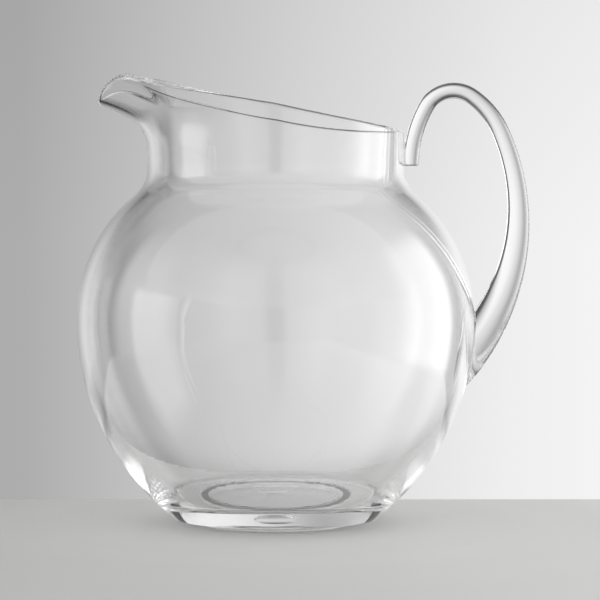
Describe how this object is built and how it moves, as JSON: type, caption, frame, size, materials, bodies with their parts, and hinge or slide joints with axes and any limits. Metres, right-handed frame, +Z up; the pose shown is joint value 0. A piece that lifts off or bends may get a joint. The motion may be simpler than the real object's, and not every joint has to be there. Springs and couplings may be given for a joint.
{
  "type": "pitcher",
  "caption": "Clear globe-shaped pitcher with a short wide neck, slanted rim, broad pouring lip, thick base and a bonded solid ear handle.",
  "frame": {"origin": "on the table plane, at the axis of the globe and foot ring", "axes": "+Z up along the body's axis, -X toward the pouring lip, +X toward the handle, Y across"},
  "size_m": [0.2167, 0.19, 0.2117],
  "materials": {
    "clear_body": "clear moulded acrylic, polished",
    "clear_handle": "clear moulded acrylic, polished",
    "clear_bond": "clear set adhesive"
  },
  "bodies": {
    "root": {"body": "clear_body", "handle": "clear_handle", "neck_bond": "clear_bond", "belly_bond": "clear_bond"}
  },
  "joints": []
}
